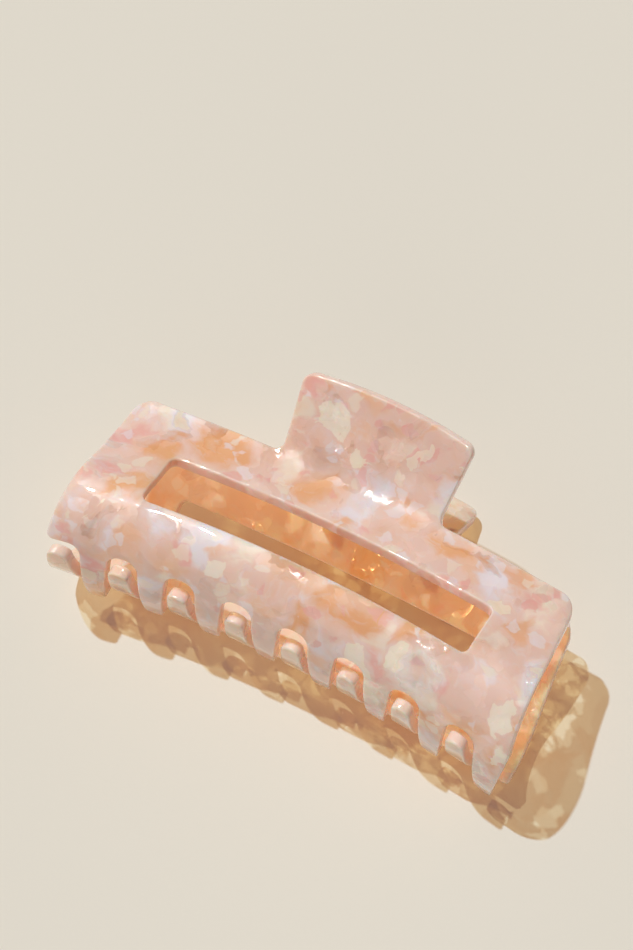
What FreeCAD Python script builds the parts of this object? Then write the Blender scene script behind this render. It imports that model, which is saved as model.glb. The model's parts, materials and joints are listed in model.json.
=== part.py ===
import FreeCAD, Part
import math
import os
from FreeCAD import Placement, Rotation, Vector

# Claw clip: two identical heat-formed plates with interleaved teeth, hinged on a sprung steel pin.
# Each plate is drawn in its own frame: X along the hinge, Y from the teeth up to the thumb grip,
# Z out through the plate's outer face, with the hinge axis on the X axis.

os.makedirs("parts", exist_ok=True)
doc = FreeCAD.newDocument("ClawClip")

# ---------------------------------------------------------------- driving dimensions, mm and degrees

SIZES = (
    ("clip_length", 108.0, "length of the tooth row, eight pitches"),
    ("plate_thickness", 2.8, "formed plate"),
    ("tooth_count", 8, "teeth on each plate"),
    ("hinge_half_width", 10.9, "hinge axis to the outer face, at the bend under the grip"),
    ("hinge_bend_run", 2.3, "half the length of the bend between grip and back"),
    ("grip_angle_base", 32.0, "slope of the thumb grip where it leaves the bend"),
    ("grip_angle_tip", 39.0, "slope of the thumb grip at its free edge"),
    ("grip_run", 19.5, "hinge bend to the middle of the grip's free edge"),
    ("back_angle_top", 12.0, "slope of the back below the hinge bend"),
    ("back_angle_crest", 31.0, "slope of the back where it starts to turn inward"),
    ("back_run", 20.1, "hinge bend to the start of the turn"),
    ("turn_run", 20.1, "length of the turn from the back to the teeth"),
    ("root_angle", 65.0, "inward slope at the tooth roots"),
    ("tip_angle", 100.0, "inward slope at the tooth tips"),
    ("tooth_run", 20.1, "roots to tips"),
    ("bow_out_top", 2.4, "how far the ends lie inward of the middle, at the hinge edge"),
    ("bow_out_tip", 3.8, "the same at the tooth tips"),
    ("bow_down_top", 1.9, "how far the ends lie below the middle, at the hinge edge"),
    ("bow_down_tip", 5.1, "the same at the tooth tips"),
    ("end_taper", 1.2, "how far each end leans in toward the hinge edge"),
    ("corner_radius", 4.0, "hinge-side corners of the plate"),
    ("foot_corner_radius", 1.6, "outer corner of the plate beside the first tooth"),
    ("foot_root_radius", 3.0, "inner corner where the first tooth leaves the plate"),
    ("grip_base_width", 37.6, "thumb grip at the plate"),
    ("grip_tip_width", 40.8, "thumb grip at its free edge"),
    ("grip_crown", 1.4, "rise of the grip's free edge in the middle"),
    ("grip_corner_radius", 2.5, "free corners of the grip"),
    ("grip_root_radius", 2.0, "inner corners where the grip leaves the plate"),
    ("window_width", 76.9, "long slot in the back"),
    ("window_height", 13.9, "long slot in the back, across"),
    ("window_run", 18.6, "hinge bend to the middle of the slot, along the outer face"),
    ("window_radius", 1.6, "corners of the slot"),
    ("tooth_tip_radius", 2.1, "round end of each tooth"),
    ("full_round_share", 0.96, "share of a full half circle at the tooth tips and arches"),
    ("cut_margin", 2.0, "how far cutting shapes reach past what they cut"),
    ("corner_ease", 0.2, "how far a corner cut starts inside the side that it rounds"),
    ("pin_radius", 1.5, "hinge pin"),
    ("pin_running_gap", 0.05, "pin to each lug bore"),
    ("pin_head_radius", 2.5, "upset heads of the pin"),
    ("pin_head_thickness", 0.8, "upset heads of the pin"),
    ("lug_thickness", 3.0, "hinge lugs"),
    ("lug_gap", 0.3, "between neighbouring lugs, and lug to pin head"),
    ("lug_eye_radius", 4.0, "round end of each lug"),
    ("lug_foot_width", 10.0, "lug where it is bonded to the plate"),
    ("inner_lug_offset", 10.2, "middle of the clip to the middle of an inner lug"),
    ("spring_wire_radius", 0.6, "torsion spring"),
    ("spring_pin_gap", 0.35, "coil to pin"),
    ("spring_turns", 6.0, "turns of the coil"),
    ("spring_end_gap", 1.0, "coil end to the inner lug"),
    ("spring_leg_reach", 12.0, "hinge axis to the leg's end, along the grip"),
    ("spring_leg_gap", 0.1, "leg to the grip's inner face"),
    ("spring_knuckle_share", 1.02, "rounded bend where a leg leaves the coil, against the wire"),
)

sizes = doc.addObject("Spreadsheet::Sheet", "Sizes")
for row, (alias, value, meaning) in enumerate(SIZES, start=1):
    sizes.set("A%d" % row, alias)
    sizes.set("B%d" % row, str(value))
    sizes.set("C%d" % row, meaning)
    sizes.setAlias("B%d" % row, alias)
doc.recompute()


def size(alias):
    """The value of one driving dimension."""
    return float(sizes.get(alias))


def bind(item, **properties):
    """Ties properties of a document object to spreadsheet cells."""
    for name, formula in properties.items():
        item.setExpression(name, formula)


# ---------------------------------------------------------------- the formed surface

half_length = size("clip_length") / 2
pitch = size("clip_length") / size("tooth_count")
bend = size("hinge_bend_run")
bend_angle = (size("back_angle_top") - size("grip_angle_base")) / 2
root_run = size("back_run") + size("turn_run")
tip_run = root_run + size("tooth_run")
thickness = size("plate_thickness")

# arcs of the outer face on each side of the hinge bend: (length, slope at the far end)
DOWN_ARCS = (
    (bend, size("back_angle_top")),
    (size("back_run") - bend, size("back_angle_crest")),
    (size("turn_run"), -size("root_angle")),
    (size("tooth_run"), -size("tip_angle")),
)
UP_ARCS = (
    (bend, -size("grip_angle_base")),
    (size("grip_run") - bend, -size("grip_angle_tip")),
)


def face_point(run):
    """Outer face in the middle of the plate, `run` millimetres from the hinge bend (down is positive).

    The slope a changes evenly along each arc, so an arc of length l from slope a to b moves the
    point by (-l (sin b - sin a), -l (cos b - cos a)) / (b - a). Past the last arc the plate runs
    straight on. Returns height, outward, slope.
    """
    arcs, sense = (DOWN_ARCS, 1) if run >= 0 else (UP_ARCS, -1)
    height, outward, slope, left = 0.0, size("hinge_half_width"), math.radians(bend_angle), abs(run)
    for length, far in arcs:
        step = min(left, length)
        far_slope = slope + (math.radians(far) - slope) * step / length
        turn = far_slope - slope
        chord = step / turn if abs(turn) > 1e-9 else 0.0
        height -= sense * chord * (math.sin(far_slope) - math.sin(slope))
        outward -= sense * chord * (math.cos(far_slope) - math.cos(slope))
        slope = far_slope
        left -= step
        if left <= 0:
            break
    height -= sense * left * math.cos(slope)
    outward += sense * left * math.sin(slope)
    return height, outward, slope


def bow(run):
    """Inward and downward shift of the plate's ends, at a distance of half the clip's length."""
    share = max(run, 0.0) / tip_run
    inward = size("bow_out_top") + (size("bow_out_tip") - size("bow_out_top")) * share
    downward = size("bow_down_top") + (size("bow_down_tip") - size("bow_down_top")) * share
    return inward, downward


def formed_point(x, run, depth=0.0, square=None):
    """A point of the formed plate, `depth` under its outer face. The bow grows with x squared."""
    height, outward, slope = face_point(run)
    inward, downward = bow(run)
    square = (x / half_length) ** 2 if square is None else square
    height -= depth * math.sin(slope) + downward * square
    outward -= depth * math.cos(slope) + inward * square
    return Vector(x, height, outward)


def skin(reach, runs, depth):
    """Surface of the plate at one depth, exactly quadratic along the hinge and smooth down the back.

    A quadratic through -reach, 0 and reach has as its middle control point the mirror image of
    its ends' shift, so the three rows of control points share one set of knots.
    """
    end_square = (reach / half_length) ** 2
    rows = []
    for x, square in ((-reach, end_square), (0.0, -end_square), (reach, end_square)):
        curve = Part.BSplineCurve()
        points = [formed_point(x, run, depth, square) for run in runs]
        curve.interpolate(Points=points, Parameters=[run - runs[0] for run in runs])
        rows.append(curve)
    surface = Part.BSplineSurface()
    surface.buildFromPolesMultsKnots(
        [row.getPoles() for row in rows],
        [3, 3],
        rows[0].getMultiplicities(),
        [0.0, 1.0],
        rows[0].getKnots(),
        False,
        False,
        2,
        rows[0].Degree,
    )
    return surface


def formed_strip():
    """The bent and bowed strip before its outline is cut: two skins joined all round."""
    margin = size("cut_margin")
    stops = (-size("grip_run") - margin, -bend, bend, size("back_run"), root_run, tip_run)
    pieces = (6, 3, 6, 9, 8)
    runs = [stops[0]]
    for k, count in enumerate(pieces):
        runs += [stops[k] + (stops[k + 1] - stops[k]) * j / count for j in range(1, count + 1)]
    reach = half_length + 2 * size("end_taper") + margin
    outer = skin(reach, runs, 0.0)
    inner = skin(reach, runs, thickness)
    faces = [outer.toShape(), inner.toShape()]
    for at_start in (True, False):
        for along_x in (True, False):
            sides = []
            for surface in (outer, inner):
                limits = surface.bounds()
                if along_x:
                    sides.append(surface.vIso(limits[2] if at_start else limits[3]).toShape())
                else:
                    sides.append(surface.uIso(limits[0] if at_start else limits[1]).toShape())
            faces.append(Part.makeRuledSurface(sides[0], sides[1]))
    shell = Part.makeShell(faces)
    shell.sewShape()
    solid = Part.makeSolid(shell)
    if solid.Volume < 0:
        solid.reverse()
    return solid


# ---------------------------------------------------------------- the cut outline

def rounded(points, radii):
    """Closed wire through corner points in one plane, each corner an arc of its own radius."""
    edges = []
    starts = []
    ends = []
    count = len(points)
    for k in range(count):
        before = (points[k - 1] - points[k]).normalize()
        after = (points[(k + 1) % count] - points[k]).normalize()
        half = before.getAngle(after) / 2
        setback = radii[k] / math.tan(half)
        start = points[k] + before * setback
        end = points[k] + after * setback
        middle = points[k] + (before + after).normalize() * (radii[k] / math.sin(half) - radii[k])
        starts.append(start)
        ends.append(end)
        if radii[k] > 0:
            edges.append(Part.Arc(start, middle, end).toShape())
    for k in range(count):
        if (starts[(k + 1) % count] - ends[k]).Length > 1e-6:
            edges.append(Part.makeLine(ends[k], starts[(k + 1) % count]))
    return Part.Wire(Part.__sortEdges__(edges))


def crowned(left, right, rise, pieces=8):
    """Points from left to right along a shallow arc, without the first and last."""
    points = []
    for k in range(1, pieces):
        t = 2.0 * k / pieces - 1.0
        points.append((left + right) / 2 + (right - left) / 2 * t + Vector(0, rise * (1 - t * t), 0))
    return points


def end_at(drop):
    """Half length of the plate at a height `drop` below the hinge: the ends lean in toward the hinge."""
    root_drop = -face_point(root_run)[0]
    return half_length + size("end_taper") * (2 * drop / root_drop - 1)


def blank_prism():
    """Prism along Z that keeps the plate's outline seen from the front: back, ends and grip sides."""
    top = end_at(0.0)
    deep = tip_run
    foot = end_at(deep)
    base = size("grip_base_width") / 2
    edge_height = face_point(-size("grip_run"))[0]
    high = edge_height + 4 * size("cut_margin")
    flare = (size("grip_tip_width") / 2 - base) * high / edge_height
    sag = size("bow_down_top")
    edge = [Vector(x, -sag * (x / half_length) ** 2, 0) for x in (base, (base + top) / 2, top)]
    right = [Vector(foot, -deep, 0), edge[2], edge[1], edge[0], Vector(base + flare, high, 0)]
    left = [Vector(-point.x, point.y, 0) for point in reversed(right)]
    nearly_straight = size("clip_length") / 2
    radii = [0.0, size("corner_radius"), nearly_straight, size("grip_root_radius"), 0.0]
    wire = rounded(right + left, radii + radii[::-1])
    height = 4 * size("hinge_half_width")
    wire.translate(Vector(0, 0, -height))
    return Part.Face(wire).extrude(Vector(0, 0, 2 * height))


def grip_edge_prism():
    """Prism square to the thumb grip's face that trims its crowned free edge and rounds its corners.

    It is drawn with Y along the grip from its free edge. Each corner line starts just outside the
    grip's side and ends just inside it, so the arc between runs clear of the side itself.
    """
    slope = size("grip_angle_tip")
    tip = size("grip_tip_width") / 2
    drop = -size("grip_crown")
    ease = size("corner_ease")
    round_off = size("grip_corner_radius")
    low = drop - 2 * round_off
    crown = crowned(Vector(-tip, drop, 0), Vector(tip, drop, 0), size("grip_crown"))
    right = [Vector(tip - ease, drop, 0), Vector(tip + ease, low, 0), Vector(half_length, low, 0)]
    right.append(Vector(half_length, 4 * size("cut_margin"), 0))
    left = [Vector(-point.x, point.y, 0) for point in reversed(right)]
    radii = [0.0] * len(left + crown + right)
    radii[len(left) - 1] = radii[len(left + crown)] = round_off
    wire = rounded(left + crown + right, radii)
    face = Part.Face(wire)
    depth = 4 * thickness
    face.translate(Vector(0, 0, -depth))
    prism = face.extrude(Vector(0, 0, 2 * depth))
    height, outward, tip_slope = face_point(-size("grip_run"))
    prism.Placement = Placement(Vector(0, height, outward), Rotation(Vector(1, 0, 0), slope))
    return prism


def comb_prism():
    """Prism along Y that removes what lies between and beyond the teeth, seen from their tips.

    The teeth stand a quarter pitch off centre, so that the turned-over twin's teeth meet the gaps.
    """
    root_half = pitch / 4
    tip_half = size("tooth_tip_radius")
    count = int(size("tooth_count"))
    root_height = face_point(root_run)[0]
    end = end_at(-root_height)
    far = end + pitch
    low = -2 * size("hinge_half_width")
    round_share = size("full_round_share")
    ease = size("corner_ease")
    corners = [(-end + ease, root_run, size("foot_corner_radius"))]
    for k in range(count):
        centre = (k - (count - 1) / 2 + 0.25) * pitch
        root_radius = root_half * round_share if k else size("foot_root_radius")
        corners.append((centre - root_half, root_run, root_radius))
        corners.append((centre - tip_half, tip_run, tip_half * round_share))
        corners.append((centre + tip_half, tip_run, tip_half * round_share))
        if k < count - 1:
            corners.append((centre + root_half, root_run, root_half * round_share))
    corners.append((end, root_run, 0.0))
    points = [Vector(x, 0, formed_point(x, run).z) for x, run, radius in corners]
    points += [Vector(far, 0, points[-1].z), Vector(far, 0, low), Vector(-far, 0, low)]
    radii = [radius for x, run, radius in corners] + [0.0, 0.0, 0.0]
    corner_top = points[0].z + 2 * size("foot_corner_radius")
    points += [Vector(-far, 0, corner_top), Vector(-end - 2 * ease, 0, corner_top)]
    wire = rounded(points, radii + [0.0, 0.0])
    wire.translate(Vector(0, -tip_run, 0))
    return Part.Face(wire).extrude(Vector(0, tip_run + root_height + 3 * thickness, 0))


def feature(name, shape):
    """A document object that holds one computed shape."""
    item = doc.addObject("Part::Feature", name)
    item.Shape = shape
    return item


def combine(kind, name, **links):
    """A boolean object of the document."""
    item = doc.addObject(kind, name)
    for link, value in links.items():
        setattr(item, link, value)
    return item


# ---------------------------------------------------------------- plate

strip = feature("FormedStrip", formed_strip())
outline = feature("PlateOutline", blank_prism())
comb = feature("ToothComb", comb_prism())
grip_edge = feature("GripEdge", grip_edge_prism())

slot = doc.addObject("Part::Box", "WindowSlot")
bind(slot, Length="Sizes.window_width", Width="Sizes.window_height", Height="8 * Sizes.plate_thickness")
doc.recompute()
slot_corners = doc.addObject("Part::Fillet", "WindowCorners")
slot_corners.Base = slot
upright = [k for k, edge in enumerate(slot.Shape.Edges, start=1) if abs(edge.tangentAt(0).z) > 0.99]
slot_corners.Edges = [(k, size("window_radius"), size("window_radius")) for k in upright]
above = formed_point(0.0, size("window_run") - size("window_height") / 2)
below = formed_point(0.0, size("window_run") + size("window_height") / 2)
slant = math.degrees(math.atan2(below.z - above.z, above.y - below.y))
lean = Rotation(Vector(1, 0, 0), -slant)
middle = Vector(size("window_width") / 2, size("window_height") / 2, slot.Height.Value / 2)
slot_corners.Placement = Placement((above + below) / 2 - lean.multVec(middle), lean)

blank = combine("Part::MultiCommon", "CutBlank", Shapes=[strip, outline])
cutters = combine("Part::MultiFuse", "PlateCutters", Shapes=[comb, slot_corners, grip_edge])
front_jaw = combine("Part::Cut", "front_jaw", Base=blank, Tool=cutters)
rear_jaw = combine("Part::Cut", "rear_jaw", Base=blank, Tool=cutters)

# ---------------------------------------------------------------- hinge lugs, bonded under the plate

outer_lug_offset = size("inner_lug_offset") + size("lug_thickness") + size("lug_gap")
along_x = Rotation(Vector(0, 1, 0), 90)


def lug(name, offset):
    """A lug with a round eye on the hinge axis and a foot that follows the plate's inner face."""
    eye = doc.addObject("Part::Cylinder", name + "_eye")
    bind(eye, Radius="Sizes.lug_eye_radius", Height="Sizes.lug_thickness")
    bore = doc.addObject("Part::Cylinder", name + "_bore")
    bind(bore, Radius="Sizes.pin_radius + Sizes.pin_running_gap", Height="Sizes.lug_thickness")
    near = offset - size("lug_thickness") / 2
    eye.Placement = Placement(Vector(near, 0, 0), along_x)
    bore.Placement = Placement(Vector(near, 0, 0), along_x)
    reach = size("lug_foot_width") / 2
    seat = [formed_point(near, reach * k / 2, thickness / 2) for k in range(-2, 3)]
    eye_radius = size("lug_eye_radius")
    neck = [Vector(near, -eye_radius, 0), Vector(near, eye_radius, 0)]
    foot_face = Part.Face(Part.makePolygon(seat + neck + [seat[0]]))
    foot = feature(name + "_foot", foot_face.extrude(Vector(size("lug_thickness"), 0, 0)))
    blank_lug = combine("Part::MultiFuse", name + "_blank", Shapes=[eye, foot])
    waste = combine("Part::MultiFuse", name + "_waste", Shapes=[bore, strip])
    return combine("Part::Cut", name, Base=blank_lug, Tool=waste)


lugs = {
    "front_lug_right": lug("front_lug_right", outer_lug_offset),
    "front_lug_left": lug("front_lug_left", -size("inner_lug_offset")),
    "rear_lug_left": lug("rear_lug_left", outer_lug_offset),
    "rear_lug_right": lug("rear_lug_right", -size("inner_lug_offset")),
}

# ---------------------------------------------------------------- pin

shank = doc.addObject("Part::Cylinder", "PinShank")
outside = "(Sizes.inner_lug_offset + 1.5 * Sizes.lug_thickness + 2 * Sizes.lug_gap)"
bind(shank, Radius="Sizes.pin_radius", Height="2 * " + outside)
head_left = doc.addObject("Part::Cylinder", "PinHeadLeft")
head_right = doc.addObject("Part::Cylinder", "PinHeadRight")
for head in (head_left, head_right):
    bind(head, Radius="Sizes.pin_head_radius", Height="Sizes.pin_head_thickness")
half_pin = outer_lug_offset + size("lug_thickness") / 2 + size("lug_gap")
shank.Placement = Placement(Vector(-half_pin, 0, 0), along_x)
head_left.Placement = Placement(Vector(-half_pin - size("pin_head_thickness"), 0, 0), along_x)
head_right.Placement = Placement(Vector(half_pin, 0, 0), along_x)
hinge_pin = combine("Part::MultiFuse", "hinge_pin", Shapes=[shank, head_left, head_right])

# ---------------------------------------------------------------- torsion spring


def spring_shape():
    """Coil round the pin with two straight legs, one against the inner face of each grip."""
    wire_radius = size("spring_wire_radius")
    mean = size("pin_radius") + size("spring_pin_gap") + wire_radius
    half_coil = size("inner_lug_offset") - size("lug_thickness") / 2 - size("spring_end_gap") - wire_radius
    tip = formed_point(half_coil, -size("spring_leg_reach"), thickness + size("spring_leg_gap") + wire_radius)
    distance = math.hypot(tip.y, tip.z)
    leave = math.degrees(math.atan2(tip.z, tip.y) + math.acos(mean / distance))
    turns = size("spring_turns") - 2 * leave / 360
    coil = Part.makeHelix(2 * half_coil / turns, 2 * half_coil, mean, 0, True)
    coil.rotate(Vector(0, 0, 0), Vector(0, 0, 1), -leave)
    turn_to_x = Placement(Vector(-half_coil, 0, 0), Rotation(Vector(1, 1, 1), 120))
    coil = coil.transformed(turn_to_x.toMatrix())
    path = Part.Wire(coil.Edges)
    solids = []
    first = path.OrderedEdges[0]
    start = first.valueAt(first.FirstParameter)
    heading = first.tangentAt(first.FirstParameter)
    section = Part.Wire(Part.makeCircle(wire_radius, start, heading))
    solids.append(path.makePipeShell([section], True, False))
    for side in (-1, 1):
        angle = math.radians(leave)
        root = Vector(side * half_coil, mean * math.cos(angle), side * mean * math.sin(angle))
        end = Vector(side * half_coil, tip.y, side * tip.z)
        leg = Part.makeCylinder(wire_radius, (end - root).Length, root, end - root)
        knuckle = Part.makeSphere(wire_radius * size("spring_knuckle_share"), root)
        solids += [leg, knuckle, Part.makeSphere(wire_radius, end)]
    return solids[0].multiFuse(solids[1:])


torsion_spring = feature("torsion_spring", spring_shape())

# ---------------------------------------------------------------- placing: lying on the rear plate

# The rear plate touches the ground along the turn of its back and at the free edge of its grip:
# the resting tilt puts both on one line.
turn_radius = size("turn_run") / math.radians(size("back_angle_crest") + size("root_angle"))
crest_height, crest_outward, crest_slope = face_point(size("back_run"))
centre_height = crest_height - turn_radius * math.sin(crest_slope)
centre_outward = crest_outward - turn_radius * math.cos(crest_slope)
edge_height, edge_outward, edge_slope = face_point(-size("grip_run"))
across = edge_height - centre_height
outward = edge_outward - centre_outward
rest_tilt = math.acos(turn_radius / math.hypot(across, outward)) - math.atan2(across, outward)
axis_height = centre_outward * math.cos(rest_tilt) - centre_height * math.sin(rest_tilt) + turn_radius

lying = Rotation(Vector(1, 0, 0), math.degrees(rest_tilt))
turned_over = lying.multiply(Rotation(Vector(0, 1, 0), 180))
front_pose = Placement(Vector(0, 0, axis_height), lying)
rear_pose = Placement(Vector(0, 0, axis_height), turned_over)

nodes = {
    "front_jaw": (front_jaw, front_pose),
    "rear_jaw": (rear_jaw, rear_pose),
    "front_lug_right": (lugs["front_lug_right"], front_pose),
    "front_lug_left": (lugs["front_lug_left"], front_pose),
    "rear_lug_left": (lugs["rear_lug_left"], rear_pose),
    "rear_lug_right": (lugs["rear_lug_right"], rear_pose),
    "hinge_pin": (hinge_pin, front_pose),
    "torsion_spring": (torsion_spring, front_pose),
}
doc.recompute()
for name, (item, pose) in nodes.items():
    item.Label = name
    item.Placement = pose
doc.recompute()

# the origin goes to the middle of the ground contact box
box = FreeCAD.BoundBox()
for item, pose in nodes.values():
    box.add(item.Shape.optimalBoundingBox(False, False))
shift = Vector(-box.Center.x, -box.Center.y, -box.ZMin)
for item, pose in nodes.values():
    item.Placement = Placement(pose.Base + shift, pose.Rotation)
doc.recompute()

# ---------------------------------------------------------------- checks and files

for item in doc.Objects:
    if "Invalid" in item.State or "Error" in item.State:
        raise RuntimeError("failed object: " + item.Name)
for name, (item, pose) in nodes.items():
    if item.Shape.isNull() or not item.Shape.isValid() or len(item.Shape.Solids) != 1:
        raise RuntimeError("bad shape: " + name)
for name, (item, pose) in nodes.items():
    item.Shape.exportStep("parts/%s.step" % name)

print("tilt %.3f deg" % math.degrees(rest_tilt))
print("hinge axis at y %.3f z %.3f" % (shift.y, shift.z + axis_height))
print("box %.2f x %.2f x %.2f" % (box.XLength, box.YLength, box.ZLength))
for name, (item, pose) in nodes.items():
    print("%-16s volume %.1f mm3" % (name, item.Shape.Volume))
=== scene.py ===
# %% [markdown]
# # A claw clip in chip acetate
# A claw clip is two equal plates of cellulose acetate, each cut from flat sheet, warmed and bent over a
# mould, and hinged back to back on a sprung steel pin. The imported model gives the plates, lugs, pin and
# spring as exact solids. This lesson dresses them: every edge gets its polished rounding, the sheet gets
# its pearly chips, and the steel gets its turned and drawn finish.

import json

import bmesh
import bpy
import numpy as np
from mathutils import Matrix, Vector
from mathutils.geometry import delaunay_2d_cdt


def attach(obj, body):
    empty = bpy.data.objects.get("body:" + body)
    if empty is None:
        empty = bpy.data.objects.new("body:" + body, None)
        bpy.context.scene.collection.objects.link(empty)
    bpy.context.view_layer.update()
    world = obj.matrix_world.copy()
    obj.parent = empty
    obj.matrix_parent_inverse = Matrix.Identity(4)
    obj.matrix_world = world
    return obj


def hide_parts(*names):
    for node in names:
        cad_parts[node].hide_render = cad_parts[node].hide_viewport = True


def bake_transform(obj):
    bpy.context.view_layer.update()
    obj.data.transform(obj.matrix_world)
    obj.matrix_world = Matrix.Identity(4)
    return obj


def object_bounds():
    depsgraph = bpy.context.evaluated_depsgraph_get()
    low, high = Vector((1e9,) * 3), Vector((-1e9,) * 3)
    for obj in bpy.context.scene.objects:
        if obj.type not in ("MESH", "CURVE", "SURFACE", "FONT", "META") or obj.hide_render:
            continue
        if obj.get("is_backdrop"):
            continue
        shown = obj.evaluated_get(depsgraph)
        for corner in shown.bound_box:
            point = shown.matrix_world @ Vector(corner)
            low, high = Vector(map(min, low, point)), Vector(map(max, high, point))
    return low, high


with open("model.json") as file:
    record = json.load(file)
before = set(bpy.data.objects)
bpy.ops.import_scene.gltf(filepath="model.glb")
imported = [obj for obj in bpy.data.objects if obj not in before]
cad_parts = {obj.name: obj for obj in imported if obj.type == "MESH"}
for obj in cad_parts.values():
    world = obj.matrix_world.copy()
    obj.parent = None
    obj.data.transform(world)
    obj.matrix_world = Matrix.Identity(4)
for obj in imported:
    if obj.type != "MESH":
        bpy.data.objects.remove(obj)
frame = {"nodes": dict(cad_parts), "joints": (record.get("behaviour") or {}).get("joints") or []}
cad_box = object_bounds()
MM = 0.001
hinge = np.array(frame["joints"][0]["pos_m"], float)

# %% [markdown]
# ## The plate as a bent strip
# Sheet acetate keeps its thickness when it is bent, so the plate is a flat blank plus one bending rule.
# A point of the blank has two measures: x along the hinge, and its run, the length along the outer face
# from the hinge bend (down to the teeth is positive, up the thumb grip is negative). The slope of the
# face changes evenly between a few stations, which makes every stretch a circular arc. Working this way
# lets the outline be drawn flat, as a cutter would, and only then be formed.

# %% Bending rule of the outer face
HALF_LENGTH = 54.0
THICKNESS = 2.8
ROOT_RUN, TIP_RUN = 40.2, 60.3
GRIP_RUN = 19.5
STATION_RUN = np.array([-22.0, -19.5, -2.3, 0.0, 2.3, 20.1, 40.2, 60.3, 62.0])
STATION_SLOPE = np.radians([-39.0, -39.0, -32.0, -10.0, 12.0, 31.0, -65.0, -100.0, -100.0])
HINGE_HALF_WIDTH = 10.9
BOW_DOWN, BOW_DOWN_MORE = 1.9, 3.2
BOW_IN, BOW_IN_MORE = 2.4, 1.4

fine_run = np.linspace(STATION_RUN[0], STATION_RUN[-1], 8401)
fine_slope = np.interp(fine_run, STATION_RUN, STATION_SLOPE)
step = np.diff(fine_run)
mean_slope = (fine_slope[1:] + fine_slope[:-1]) / 2
fine_height = np.concatenate([[0.0], np.cumsum(-np.cos(mean_slope) * step)])
fine_outward = np.concatenate([[0.0], np.cumsum(np.sin(mean_slope) * step)])
fine_height -= np.interp(0.0, fine_run, fine_height)
fine_outward += HINGE_HALF_WIDTH - np.interp(0.0, fine_run, fine_outward)


def formed(x, run, depth):
    """Point of the formed plate in its own frame: x, height above the hinge, distance outward.

    Height and outward are the running sums of -cos and sin of the slope. The point then sinks by
    depth against the face's normal, and the ends bow in and down with the square of x, a little
    more at the teeth than at the hinge.
    """
    slope = np.interp(run, fine_run, fine_slope)
    share = np.maximum(run, 0.0) / TIP_RUN
    bow = (x / HALF_LENGTH) ** 2
    down = (BOW_DOWN + BOW_DOWN_MORE * share) * bow
    inward = (BOW_IN + BOW_IN_MORE * share) * bow
    height = np.interp(run, fine_run, fine_height) - depth * np.sin(slope) - down
    outward = np.interp(run, fine_run, fine_outward) - depth * np.cos(slope) - inward
    return np.stack(np.broadcast_arrays(x, height, outward), -1)


# The clip lies on its rear plate: the grip's free edge and the crest of the back are level.
edge_height = np.interp(-GRIP_RUN, fine_run, fine_height)
edge_outward = np.interp(-GRIP_RUN, fine_run, fine_outward)
back = fine_run > 5.0
sink = np.arctan2(edge_outward - fine_outward[back], edge_height - fine_height[back])
REST_TILT = sink.min()
print("rest tilt", round(np.degrees(REST_TILT), 3), "degrees")


def laid(points, front):
    """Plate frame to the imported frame, in metres: a turn by the rest tilt, after half a turn for the rear."""
    side = 1.0 if front else -1.0
    x, height, outward = points[..., 0] * side, points[..., 1], points[..., 2] * side
    across = height * np.cos(REST_TILT) - outward * np.sin(REST_TILT)
    up = height * np.sin(REST_TILT) + outward * np.cos(REST_TILT)
    return np.stack([x, across, up], -1) * MM + hinge


# %% [markdown]
# ## Lines with rounded corners
# A cutter follows straight sides and rounded corners. A bezier curve could draw them, but here a corner
# is just a point with a radius. Each arc is worked out for all corners at once, and the line is then
# divided evenly, which suits the rounding of the edges later.

# %% Rounded line helpers
LOOP_STEP = 0.5
ARC_POINTS = 17


def rounded_loop(corners):
    """Closed line with an arc in each corner, divided evenly.

    The arc's centre lies on the corner's bisector, radius / sin(half angle) away. Its points are the
    spherical blend of the two directions from the centre to where the arc touches the sides.
    """
    points, radii = corners[:, :2], corners[:, 2:]
    before = np.roll(points, 1, 0) - points
    after = np.roll(points, -1, 0) - points
    before /= np.linalg.norm(before, axis=1, keepdims=True)
    after /= np.linalg.norm(after, axis=1, keepdims=True)
    half = np.arccos(np.clip((before * after).sum(1, keepdims=True), -1, 1)) / 2
    middle = before + after
    middle /= np.maximum(np.linalg.norm(middle, axis=1, keepdims=True), 1e-9)
    centre = points + middle * radii / np.sin(half)
    from_start = points + before * radii / np.tan(half) - centre
    from_end = points + after * radii / np.tan(half) - centre
    sweep = (np.pi - 2 * half)[:, None]
    t = np.linspace(0, 1, ARC_POINTS)[None, :, None]
    share = np.maximum(np.sin(sweep), 1e-9)
    arcs = (np.sin((1 - t) * sweep) * from_start[:, None] + np.sin(t * sweep) * from_end[:, None]) / share
    line = (centre[:, None] + arcs).reshape(-1, 2)
    line = np.vstack([line, line[:1]])
    length = np.concatenate([[0.0], np.cumsum(np.linalg.norm(np.diff(line, axis=0), axis=1))])
    even = np.linspace(0, length[-1], int(length[-1] / LOOP_STEP), endpoint=False)
    return np.stack([np.interp(even, length, line[:, 0]), np.interp(even, length, line[:, 1])], -1)


def inward_normals(loop, hole):
    """Unit normals into the sheet: a quarter turn from the central difference along the line."""
    along = np.roll(loop, -1, 0) - np.roll(loop, 1, 0)
    along /= np.linalg.norm(along, axis=1, keepdims=True)
    area = (loop[:, 0] * np.roll(loop[:, 1], -1) - np.roll(loop[:, 0], -1) * loop[:, 1]).sum()
    sense = np.sign(area) * (-1.0 if hole else 1.0)
    return np.stack([-along[:, 1], along[:, 0]], -1) * sense


print("lines are divided every", LOOP_STEP, "mm")

# %% [markdown]
# ## The flat blank
# The cutter's outline has eight teeth, two ends that lean in toward the hinge, a thumb grip with a
# gently crowned edge, and one long slot. The two jaws are one part, so a single blank serves for both.

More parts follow.
